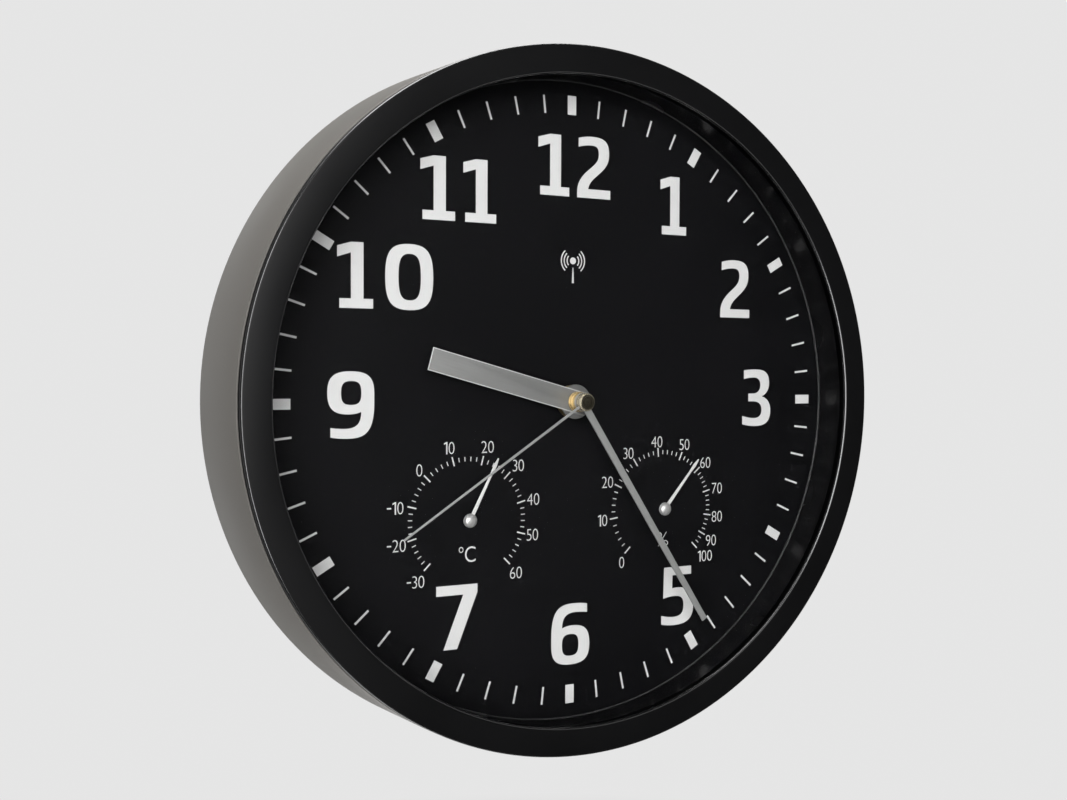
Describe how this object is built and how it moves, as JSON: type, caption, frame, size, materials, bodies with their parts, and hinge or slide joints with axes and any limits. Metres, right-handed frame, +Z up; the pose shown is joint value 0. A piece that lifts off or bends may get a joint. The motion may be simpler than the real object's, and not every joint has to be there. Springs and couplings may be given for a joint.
{
  "type": "wall clock",
  "caption": "Round wall clock with a black dial, three hands, a thermometer and a hygrometer, a grey case ring and a radio-controlled quartz movement behind the dial.",
  "frame": {"origin": "centre of the box, on the axis of the hands and half way through the depth", "axes": "+Y from the dial to the wall, +X to the right of someone who reads the dial, +Z up"},
  "size_m": [0.3, 0.05, 0.3],
  "materials": {
    "case_grey": "satin warm-grey lacquer",
    "black_gloss": "gloss",
    "black_satin": "satin",
    "glass": "clear",
    "hand_silver": "satin",
    "brass": "turned",
    "steel": "bright",
    "rubber": "matt",
    "white_plastic": "moulded",
    "copper": "enamelled winding",
    "board": "solder resist",
    "ferrite": "matt",
    "cell_jacket": "plain jacket",
    "pointer": "white lacquer"
  },
  "bodies": {
    "case": {"case_ring": "case_grey", "front_bezel": "black_gloss", "front_glass": "glass", "spacer_ring": "black_gloss", "dial_plate": "black_satin", "back_cover": "black_satin", "cover_screw_1": "steel", "cover_screw_2": "steel", "cover_screw_3": "steel", "cover_screw_4": "steel", "cover_screw_5": "steel", "cover_screw_6": "steel", "thermometer_cup": "white_plastic", "thermometer_coil": "copper", "hygrometer_cup": "white_plastic", "hygrometer_coil": "copper", "movement_front": "black_satin", "movement_rear": "black_satin", "centre_bushing": "brass", "dial_gasket": "rubber", "dial_washer": "brass", "dial_nut": "brass", "gear_plate": "white_plastic", "seconds_stator": "steel", "seconds_motor_coil": "copper", "time_stator": "steel", "time_motor_coil": "copper", "circuit_board": "board", "control_chip": "black_gloss", "quartz_crystal": "steel", "aerial_rod": "ferrite", "aerial_coil": "copper", "battery_cell": "cell_jacket", "positive_contact": "steel", "negative_contact": "steel"},
    "seconds": {"second_hand": "hand_silver", "second_collet": "brass", "seconds_wheel": "white_plastic"},
    "minutes": {"minute_hand": "hand_silver", "minute_collet": "brass", "minute_wheel": "white_plastic"},
    "hours": {"hour_hand": "hand_silver", "hour_wheel": "white_plastic"},
    "motion": {"motion_wheel": "white_plastic"},
    "time_idler": {"time_idler": "white_plastic"},
    "time_rotor": {"time_rotor": "steel"},
    "seconds_idler": {"seconds_idler": "white_plastic"},
    "seconds_rotor": {"seconds_rotor": "steel"},
    "thermometer": {"thermometer_pointer": "pointer", "thermometer_hub_cap": "pointer", "thermometer_shaft": "brass"},
    "hygrometer": {"hygrometer_pointer": "pointer", "hygrometer_hub_cap": "pointer", "hygrometer_shaft": "brass"},
    "set_button": {"set_button": "white_plastic"},
    "receive_button": {"receive_button": "white_plastic"},
    "reset_button": {"reset_button": "white_plastic"}
  },
  "joints": [
    {"name": "second_spin", "type": "hinge", "parent": "case", "child": "seconds", "pos_m": [0, 0, 0], "axis": [0, 1, 0], "continuous": true},
    {"name": "seconds_idler_spin", "type": "hinge", "parent": "case", "child": "seconds_idler", "pos_m": [0.012, 0, 0.00693], "axis": [0, 1, 0], "continuous": true},
    {"name": "seconds_rotor_spin", "type": "hinge", "parent": "case", "child": "seconds_rotor", "pos_m": [0.0204, 0, 0.01533], "axis": [0, 1, 0], "continuous": true},
    {"name": "minute_spin", "type": "hinge", "parent": "case", "child": "minutes", "pos_m": [0, 0, 0], "axis": [0, 1, 0], "continuous": true},
    {"name": "hour_spin", "type": "hinge", "parent": "case", "child": "hours", "pos_m": [0, 0, 0], "axis": [0, 1, 0], "continuous": true},
    {"name": "motion_spin", "type": "hinge", "parent": "case", "child": "motion", "pos_m": [0, 0, 0.01056], "axis": [0, 1, 0], "continuous": true},
    {"name": "time_idler_spin", "type": "hinge", "parent": "case", "child": "time_idler", "pos_m": [-0.012, 0, 0.00693], "axis": [0, 1, 0], "continuous": true},
    {"name": "time_rotor_spin", "type": "hinge", "parent": "case", "child": "time_rotor", "pos_m": [-0.0204, 0, 0.01533], "axis": [0, 1, 0], "continuous": true},
    {"name": "thermometer_swing", "type": "hinge", "parent": "case", "child": "thermometer", "pos_m": [-0.0475, 0, -0.0484], "axis": [0, 1, 0], "range_deg": [-162, 108], "stiffness_Nm_per_rad": 0.0005},
    {"name": "hygrometer_swing", "type": "hinge", "parent": "case", "child": "hygrometer", "pos_m": [0.0475, 0, -0.0484], "axis": [0, 1, 0], "range_deg": [-175, 95], "stiffness_Nm_per_rad": 0.0005},
    {"name": "set_press", "type": "slide", "parent": "case", "child": "set_button", "axis": [0, -1, 0], "range_m": [0, 0.0008], "stiffness_N_per_m": 300},
    {"name": "receive_press", "type": "slide", "parent": "case", "child": "receive_button", "axis": [0, -1, 0], "range_m": [0, 0.0008], "stiffness_N_per_m": 300},
    {"name": "reset_press", "type": "slide", "parent": "case", "child": "reset_button", "axis": [0, -1, 0], "range_m": [0, 0.0008], "stiffness_N_per_m": 300}
  ],
  "couplings": [
    {"joint": "seconds_idler_spin", "follows": "second_spin", "ratio": -6},
    {"joint": "seconds_rotor_spin", "follows": "second_spin", "ratio": 30},
    {"joint": "hour_spin", "follows": "minute_spin", "ratio": 0.083333},
    {"joint": "motion_spin", "follows": "minute_spin", "ratio": -0.33333},
    {"joint": "time_idler_spin", "follows": "minute_spin", "ratio": -6},
    {"joint": "time_rotor_spin", "follows": "minute_spin", "ratio": 30}
  ]
}
